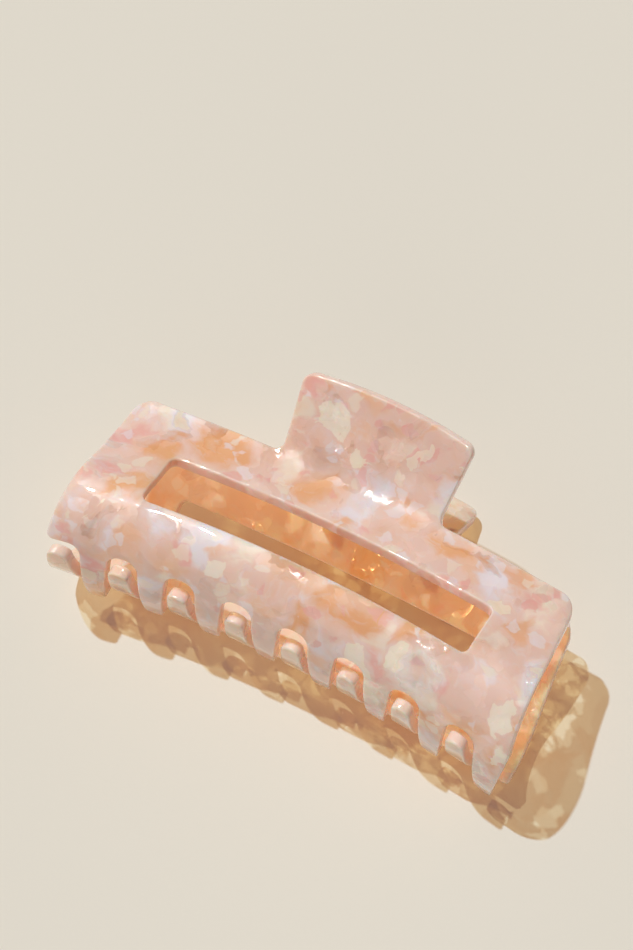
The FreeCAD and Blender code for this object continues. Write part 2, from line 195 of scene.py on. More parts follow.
# %% Outline of the blank
TOOTH_COUNT = 8
PITCH = 2 * HALF_LENGTH / TOOTH_COUNT
TOOTH_ROOT, TOOTH_TIP = PITCH / 4, 2.1
ARCH_ROUND, TIP_ROUND, FOOT_ROUND = 3.24, 2.0, 3.0
END_LEAN, END_CORNER, FOOT_CORNER = 1.2, 4.0, 1.6
GRIP_TIP, GRIP_BASE, GRIP_CROWN = 20.4, 18.8, 1.4
GRIP_CORNER, GRIP_ROOT = 2.5, 2.0
SLOT_HALF, SLOT_TOP, SLOT_FOOT, SLOT_CORNER = 38.45, 11.6, 25.6, 1.6


def end_at(run):
    """Half length of the plate at a run: the lean less at the hinge and the lean more at the roots."""
    drop = -np.interp(run, fine_run, fine_height)
    return HALF_LENGTH + END_LEAN * (2 * drop / -np.interp(ROOT_RUN, fine_run, fine_height) - 1)


# Every corner below is (x, run, radius). The teeth stand a quarter pitch off the middle, so that the
# rear plate's teeth, which are turned half a turn, fall in the gaps.
centres = (np.arange(TOOTH_COUNT) - (TOOTH_COUNT - 1) / 2 + 0.25) * PITCH
full = np.full(TOOTH_COUNT, 1.0)
teeth = np.stack([
    np.stack([centres - TOOTH_ROOT, ROOT_RUN * full, ARCH_ROUND * full], -1),
    np.stack([centres - TOOTH_TIP, TIP_RUN * full, TIP_ROUND * full], -1),
    np.stack([centres + TOOTH_TIP, TIP_RUN * full, TIP_ROUND * full], -1),
    np.stack([centres + TOOTH_ROOT, ROOT_RUN * full, ARCH_ROUND * full], -1),
], 1).reshape(-1, 3)
teeth[0, 2] = FOOT_ROUND
teeth[-1] = (end_at(ROOT_RUN), ROOT_RUN, 0.0)
end_runs = np.array([32.0, 24.0, 14.0])
right_end = np.stack([end_at(end_runs), end_runs, 0 * end_runs], -1)
crown_x = np.linspace(15.3, -15.3, 7)
crown = np.stack([crown_x, -GRIP_RUN + GRIP_CROWN * (crown_x / GRIP_TIP) ** 2, 0 * crown_x], -1)
shoulder = np.array([
    (end_at(0.0), 0.0, END_CORNER),
    (GRIP_BASE, 0.0, GRIP_ROOT),
    (GRIP_TIP, -GRIP_RUN + GRIP_CROWN, GRIP_CORNER),
])
mirror = (-1, 1, 1)
outline = np.vstack([
    teeth,
    right_end,
    shoulder,
    crown,
    shoulder[::-1] * mirror,
    right_end[::-1] * mirror,
    [(-end_at(ROOT_RUN), ROOT_RUN, FOOT_CORNER)],
])
blank_edge = rounded_loop(outline)
slot_edge = rounded_loop(np.array([
    (-SLOT_HALF, SLOT_TOP, SLOT_CORNER),
    (SLOT_HALF, SLOT_TOP, SLOT_CORNER),
    (SLOT_HALF, SLOT_FOOT, SLOT_CORNER),
    (-SLOT_HALF, SLOT_FOOT, SLOT_CORNER),
]))
print("outline", len(blank_edge), "points, slot", len(slot_edge), "points")

# %% [markdown]
# ## Rounded edges
# Clips are tumbled for days in wooden pegs and wax, which rounds every edge and leaves no sharp line.
# So the wall is a small profile, a quarter circle, a straight and a quarter circle, carried along each
# edge line. A Bevel modifier would do it too, but it needs a clean fold between wall and skin.

# %% Edge profile
EDGE_ROUND = 0.45
turn = np.linspace(0, np.pi / 2, 6)
inset = EDGE_ROUND * (1 - np.sin(turn))
sunk = EDGE_ROUND * (1 - np.cos(turn))
PROFILE_INSET = np.concatenate([inset, inset[::-1]])
PROFILE_DEPTH = np.concatenate([sunk, THICKNESS - sunk[::-1]])


def edge_rings(loop, hole):
    """Rings of (x, run, depth): the line moved in by each inset of the profile, at its depth."""
    normals = inward_normals(loop, hole)
    flat = loop[None] + PROFILE_INSET[:, None, None] * normals[None]
    depth = np.broadcast_to(PROFILE_DEPTH[:, None, None], flat.shape[:2] + (1,))
    return np.concatenate([flat, depth], -1)


blank_rings = edge_rings(blank_edge, hole=False)
slot_rings = edge_rings(slot_edge, hole=True)
print("wall profile", len(PROFILE_DEPTH), "points, edges rounded by", EDGE_ROUND, "mm")

# %% [markdown]
# ## The two skins
# Between the edges lie two skins, the outer and the inner face. Each is a flat net of triangles with
# inner points about a millimetre apart, so that it bends smoothly. One net serves both faces, and all
# of it goes through the bending rule together with the edges.

# %% Skin net
NET_SPACING = 1.1
NET_CLEARANCE = 0.6


def inside(points, loop):
    """True where a level ray from the point crosses the closed line an odd number of times."""
    x, y = points[:, 0, None], points[:, 1, None]
    ax, ay = loop[:, 0], loop[:, 1]
    bx, by = np.roll(ax, -1), np.roll(ay, -1)
    spans = (ay > y) != (by > y)
    crossing = ax + (y - ay) * (bx - ax) / np.where(by == ay, 1e-9, by - ay)
    return (spans & (x < crossing)).sum(1) % 2 == 1


def skin_net(outer, hole):
    """Flat triangles between the outer line and the hole, with a staggered net of inner points.

    Rows lie 0.87 of the spacing apart and every other row is moved half a spacing, which makes the
    triangles even. Points near a line are left out, so that no triangle there is a sliver.
    """
    rows = np.arange(outer[:, 1].min(), outer[:, 1].max(), NET_SPACING * 0.87)
    columns = np.arange(outer[:, 0].min(), outer[:, 0].max(), NET_SPACING)
    net = np.stack(np.meshgrid(columns, rows), -1)
    net[1::2, :, 0] += NET_SPACING / 2
    net = net.reshape(-1, 2)
    rim = np.vstack([outer, hole])
    across, along = net[:, 0, None] - rim[:, 0], net[:, 1, None] - rim[:, 1]
    clear = (across ** 2 + along ** 2).min(1)
    net = net[(clear > NET_CLEARANCE ** 2) & inside(net, outer) & ~inside(net, hole)]
    points = np.vstack([rim, net])
    first, second = len(outer), len(hole)
    around = np.concatenate([
        np.stack([np.arange(first), np.roll(np.arange(first), -1)], -1),
        first + np.stack([np.arange(second), np.roll(np.arange(second), -1)], -1),
    ])
    found = delaunay_2d_cdt([Vector(p) for p in points], [tuple(e) for e in around.tolist()], [], 1, 1e-7)
    origin = np.array([source[0] for source in found[3]])
    triangles = origin[np.array(found[2])]
    middles = points[triangles].mean(1)
    triangles = triangles[~inside(middles, hole)]
    (ax, ay), (bx, by), (cx, cy) = points[triangles].transpose(1, 2, 0)
    turned = (bx - ax) * (cy - ay) - (cx - ax) * (by - ay) > 0
    triangles[turned] = triangles[turned][:, ::-1]
    return net, triangles


net, net_triangles = skin_net(blank_rings[0, :, :2], slot_rings[0, :, :2])
print("skin net", len(net), "inner points", len(net_triangles), "triangles")

# %% [markdown]
# ## From arrays to a mesh
# Vertices are numbered ring by ring, so the faces of a wall are plain index arithmetic. A short bmesh
# pass turns all faces outward, and counts open edges: a closed shell has none.

# %% Mesh helpers
def ring_faces(start, rings, count, flip):
    """Quads between neighbouring rings of `count` vertices each, closed around."""
    k = np.arange(count)
    r = np.arange(rings - 1)[:, None] * count + start
    quads = np.stack([r + k, r + np.roll(k, -1), r + count + np.roll(k, -1), r + count + k], -1).reshape(-1, 4)
    return quads[:, ::-1] if flip else quads


def mesh_piece(name, points, quads, triangles=None, edge=None):
    """A smooth mesh object at the origin from arrays of points, quads and triangles."""
    mesh = bpy.data.meshes.new(name)
    faces = quads.tolist() + ([] if triangles is None else triangles.tolist())
    mesh.from_pydata(points.tolist(), [], faces)
    mesh.polygons.foreach_set("use_smooth", np.ones(len(mesh.polygons), bool))
    if edge is not None:
        mesh.attributes.new("edge", "FLOAT", "POINT").data.foreach_set("value", edge.astype(np.float32))
    mesh.update()
    piece = bpy.data.objects.new(name, mesh)
    bpy.context.scene.collection.objects.link(piece)
    return piece


def face_outward(piece):
    """Turns all faces outward, and prints the volume and the number of open edges."""
    bm = bmesh.new()
    bm.from_mesh(piece.data)
    bmesh.ops.recalc_face_normals(bm, faces=bm.faces)
    volume, gaps = bm.calc_volume() * 1e9, sum(not edge.is_manifold for edge in bm.edges)
    print(piece.name, "volume mm3", round(volume, 1), "open edges", gaps)
    bm.to_mesh(piece.data)
    bm.free()


print("packed solids to dress", len(frame["nodes"]))

# %% [markdown]
# ## Putting the plate together
# The outer skin joins the first ring of both edges and the inner skin joins the last. A float attribute
# marks how far a vertex is round the edge. The finish uses it to paint the rounded edge a lighter pink:
# painted light, standing in for the glow that a polished edge gathers.

# %% The two plates
def plate(name, front):
    """One formed plate: two rounded edges and two skins through the bending rule, laid in place.

    The edge attribute is 1 on the wall and falls to 0 at the skins, as the angle round the edge.
    """
    rings, around, slot_around = len(PROFILE_DEPTH), len(blank_edge), len(slot_edge)
    slot_start = rings * around
    net_start = slot_start + rings * slot_around
    flat = np.vstack([
        blank_rings.reshape(-1, 3),
        slot_rings.reshape(-1, 3),
        np.hstack([net, np.zeros((len(net), 1))]),
        np.hstack([net, np.full((len(net), 1), THICKNESS)]),
    ])
    points = laid(formed(flat[:, 0], flat[:, 1], flat[:, 2]), front)
    roundness = np.concatenate([turn, turn[::-1]]) / (np.pi / 2)
    edge = np.concatenate([
        np.repeat(roundness, around),
        np.repeat(roundness, slot_around),
        np.zeros(2 * len(net)),
    ])
    quads = np.vstack([
        ring_faces(0, rings, around, flip=True),
        ring_faces(slot_start, rings, slot_around, flip=False),
    ])
    outer_skin = np.concatenate([
        np.arange(around),
        slot_start + np.arange(slot_around),
        net_start + np.arange(len(net)),
    ])
    inner_skin = np.concatenate([
        (rings - 1) * around + np.arange(around),
        slot_start + (rings - 1) * slot_around + np.arange(slot_around),
        net_start + len(net) + np.arange(len(net)),
    ])
    triangles = np.vstack([outer_skin[net_triangles], inner_skin[net_triangles][:, ::-1]])
    piece = mesh_piece(name, points, quads, triangles, edge)
    face_outward(piece)
    return piece


front_plate = plate("front_plate", front=True)
rear_plate = plate("rear_plate", front=False)
for piece, body, node, finish in (
    (front_plate, "front_half", "front_jaw", "front_acetate"),
    (rear_plate, "rear_half", "rear_jaw", "rear_acetate"),
):
    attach(piece, body)
    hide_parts(node)

# %% [markdown]
# ## Lugs and pin with eased edges
# The hinge lugs are cut from the same sheet and bonded under the bend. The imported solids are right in
# shape but razor sharp, so each is copied, its loose triangles are joined, and a narrow bevel eases the
# edges. The same is done to the pin's upset heads.

# %% Eased copies of small parts
LUG_EASE, PIN_EASE = 0.3, 0.2
SHARP_ANGLE = 0.6


def eased(node, name, width):
    """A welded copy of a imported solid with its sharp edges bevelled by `width` millimetres."""
    mesh = frame["nodes"][node].data.copy()
    mesh.name = name
    mesh.materials.clear()
    bm = bmesh.new()
    bm.from_mesh(mesh)
    bmesh.ops.remove_doubles(bm, verts=bm.verts, dist=1e-6)
    bmesh.ops.dissolve_limit(bm, angle_limit=0.01, verts=bm.verts, edges=bm.edges)
    sharp = [e for e in bm.edges if len(e.link_faces) == 2 and e.calc_face_angle(0.0) > SHARP_ANGLE]
    bmesh.ops.bevel(
        bm, geom=sharp, offset=width * MM, segments=3, profile=0.5, affect="EDGES", clamp_overlap=True,
    )
    bmesh.ops.triangulate(bm, faces=bm.faces)
    bm.to_mesh(mesh)
    bm.free()
    mesh.shade_smooth()
    piece = bpy.data.objects.new(name, mesh)
    bpy.context.scene.collection.objects.link(piece)
    return piece


LUGS = {
    "front_lug_left": "front_half",
    "front_lug_right": "front_half",
    "rear_lug_left": "rear_half",
    "rear_lug_right": "rear_half",
}
lug_pieces = []
for node, body in LUGS.items():
    piece = eased(node, node + "_eased", LUG_EASE)
    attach(piece, body)
    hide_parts(node)
    lug_pieces.append(piece)
pin_piece = eased("hinge_pin", "hinge_pin_polished", PIN_EASE)
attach(pin_piece, "rear_half")
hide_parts("hinge_pin")
print("eased", [p.name for p in lug_pieces + [pin_piece]])

# %% [markdown]
# ## The spring
# A clip's spring is one length of hard-drawn wire: a little over five turns round the pin and a straight
# leg at each end that pushes up under a thumb grip. A curve object with a bevel would draw it, but a tube
# laid out as rings along a path keeps the ends closed and the turns exact.

# %% Tube along a path
WIRE_SIDES, DOME_RINGS = 14, 4


def tube(path, radius, around):
    """Rings round a path, closed by domes.

    Each ring is the centre plus radius times cos and sin of the angle along two axes square to the
    path. The first axis is x made square to the heading, which suits a coil wound along x. At each
    end the last rings draw in on a quarter circle.
    """
    dome = np.linspace(0, np.pi / 2, DOME_RINGS + 1)[:-1]
    heading = np.gradient(path, axis=0)
    heading /= np.linalg.norm(heading, axis=1, keepdims=True)
    first = path[0] - heading[0] * radius * np.sin(dome[::-1, None])
    last = path[-1] + heading[-1] * radius * np.sin(dome[:, None])
    path = np.vstack([first, path[1:-1], last])
    heading = np.vstack([
        heading[:1].repeat(DOME_RINGS, 0), heading[1:-1], heading[-1:].repeat(DOME_RINGS, 0),
    ])
    size = np.concatenate([np.cos(dome[::-1]), np.ones(len(path) - 2 * DOME_RINGS), np.cos(dome)]) * radius
    side = np.array([1.0, 0.0, 0.0]) - heading * heading[:, :1]
    side /= np.linalg.norm(side, axis=1, keepdims=True)
    other = np.cross(heading, side)
    angle = np.linspace(0, 2 * np.pi, around, endpoint=False)[None, :, None]
    round_wire = np.cos(angle) * side[:, None] + np.sin(angle) * other[:, None]
    rings = path[:, None] + size[:, None, None] * round_wire
    points = np.vstack([rings.reshape(-1, 3), path[:1], path[-1:]])
    k = np.arange(around)
    end = len(rings) * around
    caps = np.vstack([
        np.stack([np.full(around, end), np.roll(k, -1), k], -1),
        np.stack([np.full(around, end + 1), end - around + k, end - around + np.roll(k, -1)], -1),
    ])
    return points, ring_faces(0, len(rings), around, flip=False), caps


print("wire of", WIRE_SIDES, "sides with", DOME_RINGS, "rings in each rounded end")

# %% [markdown]
# ## Coil and legs
# The coil is a helix whose angle runs evenly. Each leg leaves it on a tangent and lies under a grip: the
# tangent's angle is that of the leg's end plus the arc cosine of the coil's radius over its distance.
# The coil has six turns, less the angle that the two legs take up.

# %% The spring
WIRE_RADIUS, COIL_RADIUS, COIL_HALF = 0.6, 2.45, 7.1
LEG_RUN, LEG_GAP = 12.0, 0.1
COIL_POINTS, LEG_POINTS = 420, 24
FULL_TURNS = 6
leg_end = formed(COIL_HALF, -LEG_RUN, THICKNESS + LEG_GAP + WIRE_RADIUS)
reach = np.hypot(leg_end[1], leg_end[2])
leave = np.arctan2(leg_end[2], leg_end[1]) + np.arccos(COIL_RADIUS / reach)
turns = FULL_TURNS - leave / np.pi
t = np.linspace(0, 1, COIL_POINTS)
wind = -leave - 2 * np.pi * turns * t
coil = np.stack([COIL_HALF * (2 * t - 1), COIL_RADIUS * np.cos(wind), COIL_RADIUS * np.sin(wind)], -1)
away_leg = np.linspace(0, 1, LEG_POINTS)[:, None]
rear_leg = np.array([-COIL_HALF, leg_end[1], -leg_end[2]]) * (1 - away_leg) + coil[0] * away_leg
front_leg = coil[-1] * (1 - away_leg) + leg_end * away_leg
path = np.vstack([rear_leg[:-1], coil, front_leg[1:]])
points, quads, caps = tube(path, WIRE_RADIUS, WIRE_SIDES)
along = np.concatenate([[0.0], np.cumsum(np.linalg.norm(np.diff(path, axis=0), axis=1))])
spring_piece = mesh_piece("wire_spring", laid(points, front=True), quads, caps)
face_outward(spring_piece)
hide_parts("torsion_spring")
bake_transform(spring_piece)
print("spring wire", round(along[-1], 1), "mm long in", round(turns, 2), "turns")

# %% [markdown]
# ## Wiring a finish by hand
# A finish in Blender is a small graph of nodes. The helpers below make a node, set its inputs and join
# its sockets in one call, so that each finish reads as a recipe. Colours are given as screen levels and
# turned into linear light, which is what the shader adds up.

# %% Node helpers
def new_finish(name):
    """An empty node material and its `make` helper: kind, inputs by name, settings by keyword."""
    material = bpy.data.materials.new(name)
    material.use_nodes = True
    tree = material.node_tree
    tree.nodes.clear()

    def make(kind, inputs=None, **settings):
        item = tree.nodes.new(kind)
        for key, value in settings.items():
            setattr(item, key, value)
        for key, value in (inputs or {}).items():
            if isinstance(value, bpy.types.NodeSocket):
                tree.links.new(value, item.inputs[key])
            else:
                item.inputs[key].default_value = value
        return item

    return material, make


def srgb(*levels):
    """Linear colour with alpha from 0..255 screen levels."""
    c = np.array(levels, float) / 255
    linear = np.where(c <= 0.04045, c / 12.92, ((c + 0.055) / 1.055) ** 2.4)
    return (*linear.tolist(), 1.0)


def steps(make, value, stops):
    """Colour bands without blending: each colour holds from its position to the next."""
    ramp = make("ShaderNodeValToRGB", {"Fac": value})
    ramp.color_ramp.interpolation = "CONSTANT"
    bands = ramp.color_ramp.elements
    while len(bands) < len(stops):
        bands.new(0.5)
    for band, (position, colour) in zip(bands, stops):
        band.position = position
        band.color = colour
    return ramp.outputs["Color"]


def maths(make, operation, *values):
    """One arithmetic node, its inputs given as numbers or sockets."""
    return make("ShaderNodeMath", dict(enumerate(values)), operation=operation).outputs[0]


def vectors(make, operation, first, second):
    """One vector node. SCALE takes its factor second."""
    key = "Scale" if operation == "SCALE" else 1
    return make("ShaderNodeVectorMath", {0: first, key: second}, operation=operation).outputs[0]


def mixed(make, share, first, second):
    """Colour mix of two colours or sockets."""
    inputs = {0: share, 6: first, 7: second}
    return make("ShaderNodeMix", inputs, data_type="RGBA").outputs[2]


def passed(make, value, level):
    """1 where the value is over the level, else 0."""
    return maths(make, "GREATER_THAN", value, level)


def ranged(make, value, low, high, to_low, to_high):
    """Smooth step of a value from one range to another."""
    inputs = {"Value": value, "From Min": low, "From Max": high, "To Min": to_low, "To Max": to_high}
    return make("ShaderNodeMapRange", inputs, interpolation_type="SMOOTHSTEP").outputs[0]


def stirred(make, place, per_metre, reach):
    """The place moved by a noise colour, up to about half of `reach` each way."""
    noise = make("ShaderNodeTexNoise", {"Vector": place, "Scale": per_metre, "Detail": 3.0}).outputs["Color"]
    shift = vectors(make, "SCALE", vectors(make, "SUBTRACT", noise, (0.5, 0.5, 0.5)), reach)
    return vectors(make, "ADD", place, shift)


print("middle grey in linear light", round(srgb(128)[0], 3))

# %% [markdown]
# ## Chip acetate
# This sheet is pressed from chips of several tinted and pearly acetates in a clear pink binder. An
# image would need unwrapping and would smear over the edges. Cells from a Voronoi node cut straight
# through the thickness, so a chip seen on the face goes on round the edge, as it does in real sheet.
# The colours come first: each kind of chip has its share of the cells.

# %% Chip colours
PEACH = srgb(234, 191, 160)
APRICOT = srgb(230, 173, 124)
ROSE = srgb(232, 172, 166)
BLUSH = srgb(234, 206, 196)
PEARL = srgb(231, 224, 231)
CREAM = srgb(238, 227, 212)
# Clear chips: pale partly as their own colour and partly as painted light showing through them.
CLEAR_AND_PAINTED_LIGHT = srgb(240, 231, 214)
BINDER = srgb(232, 202, 190)
# Pale straw, partly the binder's own tint and partly painted light.
STRAW_BINDER_AND_LIGHT = srgb(244, 226, 190)
# Painted glow for the rounded edges: light that a polished edge gathers, put into the colour.
PAINTED_EDGE_GLOW = srgb(250, 212, 204)

# Each band starts at a share of the chips and holds to the next.
CHUNK_BANDS = (
    (0.0, PEACH), (0.16, BLUSH), (0.28, ROSE), (0.36, CREAM), (0.46, PEARL), (0.62, APRICOT), (0.88, BLUSH),
)
FLAKE_BANDS = ((0.0, CREAM), (0.2, ROSE), (0.4, PEACH), (0.54, PEARL), (0.76, BLUSH), (0.9, APRICOT))
SLIVER_BANDS = ((0.0, PEARL), (0.4, CREAM), (0.7, ROSE))
LIGHT_BANDS = (
    (0.0, srgb(227, 205, 172)), (0.36, srgb(233, 216, 186)),
    (0.46, srgb(227, 206, 175)), (0.62, srgb(226, 199, 160)),
)
PALE_LIGHT = srgb(251, 244, 228)
print("chip colours", len(CHUNK_BANDS) + len(FLAKE_BANDS) + len(SLIVER_BANDS), "bands")

# %% [markdown]
# ## Three sizes of chips
# Chunks, flakes and slivers are laid over each other. A noise stirs the place first, because pressing
# makes the outlines ragged, and each chip fades out toward its border, because its skin melts into the
# binder.

# %% Chip layers
CHUNKS_PER_METRE, FLAKES_PER_METRE, SLIVERS_PER_METRE = 88.0, 165.0, 330.0


def chip_layer(make, place, per_metre, feather):
    """Random channels of each chip, its mask that fades at the outline, and its raw colour."""
    inputs = {"Vector": place, "Scale": per_metre, "Randomness": 0.95}
    cell = make("ShaderNodeTexVoronoi", inputs)
    border = make("ShaderNodeTexVoronoi", inputs, feature="DISTANCE_TO_EDGE")
    mask = ranged(make, border.outputs["Distance"], 0.0, feather, 0.0, 1.0)
    channels = make("ShaderNodeSeparateColor", {"Color": cell.outputs["Color"]}).outputs
    return channels, mask, cell.outputs["Color"]


def laid_chips(make, place):
    """The stirred place and the three layers of chips: chunks, flakes and slivers."""
    flow = stirred(make, stirred(make, place, 60.0, 0.014), 240.0, 0.006)
    chunks = chip_layer(make, flow, CHUNKS_PER_METRE, 0.3)
    flakes = chip_layer(make, flow, FLAKES_PER_METRE, 0.25)
    slivers = chip_layer(make, stirred(make, place, 240.0, 0.004), SLIVERS_PER_METRE, 0.12)
    return flow, chunks, flakes, slivers


per_metre = np.array([CHUNKS_PER_METRE, FLAKES_PER_METRE, SLIVERS_PER_METRE])
print("cells", np.round(1 / (per_metre * MM), 1), "mm across")

# %% [markdown]
# ## Laying the colours on
# A real chip lies at some depth in the sheet, and others hide it in part. Mixing the layers in order,
# with a share below one for each, looks the same and costs nothing to render. Thin streaks and flat
# foils of pearl go in near the end, then the clear chips, whose pale colour is partly their own and
# partly painted light showing through them. A pale straw, partly painted light, and a painted glow on
# the rim go on last.

# %% Colour of the sheet
def chip_colour(make, flow, chunks, flakes, slivers, foil, flake_core, straw_binder_and_light_share):
    """Colour of the sheet, laid on from the binder up: chunks, flakes, slivers, streaks, foil, clear.

    Flakes are held back over apricot chunks, which are the deepest ones. The rounded rim is painted a
    lighter pink, a painted glow that stands in for the light a polished edge gathers.
    """
    (chunk, chunk_mask, _), (flake, flake_mask, _), (sliver, sliver_mask, _) = chunks, flakes, slivers
    colour = mixed(make, chunk_mask, BINDER, steps(make, chunk[0], CHUNK_BANDS))
    apricot = maths(make, "MULTIPLY", maths(make, "COMPARE", chunk[0], 0.75, 0.13), chunk_mask)
    kept = maths(make, "SUBTRACT", 1.0, maths(make, "MULTIPLY", apricot, 0.7))
    shown = maths(make, "MULTIPLY", maths(make, "MULTIPLY", passed(make, flake[1], 0.55), 0.7), kept)
    shown = maths(make, "MULTIPLY", shown, flake_mask)
    colour = mixed(make, shown, colour, steps(make, flake[0], FLAKE_BANDS))
    shown = maths(make, "MULTIPLY", maths(make, "MULTIPLY", passed(make, sliver[1], 0.8), 0.6), sliver_mask)
    colour = mixed(make, shown, colour, steps(make, sliver[0], SLIVER_BANDS))
    grain = {"Vector": flow, "Rotation": (0.3, 0.5, 0.9), "Scale": (0.3, 1.0, 1.0)}
    grain = make("ShaderNodeMapping", grain).outputs["Vector"]
    streak = make("ShaderNodeTexNoise", {"Vector": grain, "Scale": 520.0, "Detail": 3.0}).outputs["Fac"]
    colour = mixed(make, ranged(make, streak, 0.54, 0.66, 0.0, 0.22), colour, PEARL)
    colour = mixed(make, maths(make, "MULTIPLY", foil, 0.45), colour, PEARL)
    # Clear chips, painted pale partly for their own colour and partly for light showing through them.
    clear = maths(make, "MULTIPLY", maths(make, "MULTIPLY", passed(make, flake[1], 0.93), 0.7), flake_core)
    colour = mixed(make, clear, colour, CLEAR_AND_PAINTED_LIGHT)
    # Pale straw: partly the binder's tint, partly painted light for light passing through the sheet.
    colour = mixed(make, straw_binder_and_light_share, colour, STRAW_BINDER_AND_LIGHT)
    # Painted light: the rounded rim is mixed toward a lighter pink glow.
    rim = make("ShaderNodeAttribute", attribute_name="edge").outputs["Fac"]
    return mixed(make, maths(make, "MULTIPLY", rim, 0.6), colour, PAINTED_EDGE_GLOW)


print("binder", np.round(BINDER[:3], 2), "lies under every chip")

# %% [markdown]
# ## Pearl and polish
# Pearl chips hold tiny plates that lie at slightly different angles. Turning the shading normal a
# little for each chip gives the same glints, with no metal in it. The polish is a clear coat over all,
# with the faint waviness that a bent and tumbled sheet keeps.

# %% Pearl and polish normals
SLIVER_LEAN = 0.16


def pearl_normal(make, flow, flakes, slivers, sheen, foil):
    """The face's own normal, leaned by each flake's, each sliver's and the crinkled foil's raw colour."""
    pearly = maths(make, "MULTIPLY", maths(make, "ADD", sheen, 0.1), 0.5)
    crinkle = make("ShaderNodeTexNoise", {"Vector": flow, "Scale": 480.0, "Detail": 2.5}).outputs["Color"]
    folded = maths(make, "ADD", pearly, maths(make, "MULTIPLY", foil, 0.7))
    facing = make("ShaderNodeNewGeometry").outputs["Normal"]
    for tilt, reach in ((flakes[2], pearly), (slivers[2], SLIVER_LEAN), (crinkle, folded)):
        lean = vectors(make, "SCALE", vectors(make, "SUBTRACT", tilt, (0.5, 0.5, 0.5)), reach)
        facing = vectors(make, "ADD", facing, lean)
    return make("ShaderNodeVectorMath", {0: facing}, operation="NORMALIZE").outputs[0]


def polish_normal(make, place):
    """Waves about a centimetre long, for the clear coat alone."""
    wave = make("ShaderNodeTexNoise", {"Vector": place, "Scale": 90.0, "Detail": 2.0}).outputs["Fac"]
    return make("ShaderNodeBump", {"Height": wave, "Strength": 0.3, "Distance": 0.0015}).outputs["Normal"]


print("a sliver leans up to", round(np.degrees(np.arctan(SLIVER_LEAN / 2)), 1), "degrees each way")

# %% [markdown]
# ## Light in the sheet
# Light goes into the sheet and comes out blurred, which is subsurface scattering. The sheet also lets
# sunlight through in tan and amber, so for shadow rays alone the surface stands in as tinted glass.
# Both plates are the same sheet. The rear one is mixed with more pale straw, painted light that stands
# in for the amber light passing through the front plate into the hollow between them.

# %% The acetate finish
def chip_acetate(name, offset, straw_binder_and_light_share):
    """Finish of one plate, its chips laid out by the piece's own space moved by `offset` metres.

    The last argument is the share of pale straw in the colour: partly the clear binder's own tint and
    partly painted light, which on the rear plate stands in for light passing through the sheet.
    """
    material, make = new_finish(name)
    own = make("ShaderNodeTexCoord").outputs["Object"]
    place = make("ShaderNodeMapping", {"Vector": own, "Location": offset}).outputs["Vector"]
    flow, chunks, flakes, slivers = laid_chips(make, place)
    (chunk, chunk_mask, _), (flake, flake_mask, _) = chunks, flakes
    foil = maths(make, "MULTIPLY", passed(make, chunk[1], 0.78), chunk_mask)
    flake_core = passed(make, flake_mask, 0.25)
    sheen = ranged(make, maths(make, "MAXIMUM", flake[2], foil), 0.6, 0.85, 0.0, 1.0)
    body = make("ShaderNodeBsdfPrincipled", {
        "Base Color": chip_colour(make, flow, chunks, flakes, slivers, foil, flake_core, straw_binder_and_light_share),
        "Roughness": ranged(make, sheen, 0.0, 1.0, 0.5, 0.16),
        "IOR": 1.6,
        "Normal": pearl_normal(make, flow, flakes, slivers, sheen, foil),
        "Subsurface Weight": 0.8,
        "Subsurface Radius": (1.0, 0.6, 0.4),
        "Subsurface Scale": 0.004,
        "Coat Weight": 1.0,
        "Coat Roughness": 0.04,
        "Coat IOR": 1.45,
        "Coat Normal": polish_normal(make, place),
    })
    pale = maths(make, "MULTIPLY", passed(make, flake[1], 0.76), flake_core)
    tint = mixed(make, pale, steps(make, chunk[0], LIGHT_BANDS), PALE_LIGHT)
    window = make("ShaderNodeBsdfTransparent", {"Color": tint})
    shadow_ray = make("ShaderNodeLightPath").outputs["Is Shadow Ray"]
    sheet = make("ShaderNodeMixShader", {0: shadow_ray, 1: body.outputs[0], 2: window.outputs[0]})
    make("ShaderNodeOutputMaterial", {"Surface": sheet.outputs[0]})
    return material


# The rear plate's larger straw share is painted light for the lit hollow between the plates.
front_finish = chip_acetate("front_chip_acetate", (0.13, 0.02, 0.05), 0.06)
rear_finish = chip_acetate("rear_chip_acetate", (0.31, 0.17, 0.05), 0.35)
front_plate.data.materials.append(front_finish)
rear_plate.data.materials.append(rear_finish)
for piece in lug_pieces:
    piece.data.materials.append(front_finish if "front" in piece.name else rear_finish)
print("acetate nodes", len(front_finish.node_tree.nodes))

# %% [markdown]
# ## Pin and spring steel
# The pin is turned, so its finish runs in fine rings across its length: a noise squeezed along x does
# that. The wire is drawn and oiled: a soft mottling shades it and wear keeps the roughness uneven.
# Both are metals, where the base colour tints the reflection.

# %% Steel finishes
def steel(name, level, squeeze, rough_low, rough_high):
    """Bare metal whose roughness and tone follow one noise, squeezed by a factor for each axis.

    `level` is the screen level of its brightest tone, and the darkest lies 26 levels below.
    """
    material, make = new_finish(name)
    own = make("ShaderNodeTexCoord").outputs["Object"]
    grain = make("ShaderNodeMapping", {"Vector": own, "Scale": squeeze}).outputs["Vector"]
    noise = make("ShaderNodeTexNoise", {"Vector": grain, "Scale": 900.0, "Detail": 4.0}).outputs["Fac"]
    dark, light = srgb(level - 26, level - 28, level - 30), srgb(level, level - 2, level - 6)
    tone = mixed(make, noise, dark, light)
    scratch = make("ShaderNodeBump", {"Height": noise, "Strength": 0.15, "Distance": 0.00005}).outputs["Normal"]
    metal = make("ShaderNodeBsdfPrincipled", {
        "Base Color": tone,
        "Metallic": 1.0,
        "Roughness": ranged(make, noise, 0.3, 0.7, rough_low, rough_high),
        "Normal": scratch,
    })
    make("ShaderNodeOutputMaterial", {"Surface": metal.outputs[0]})
    return material


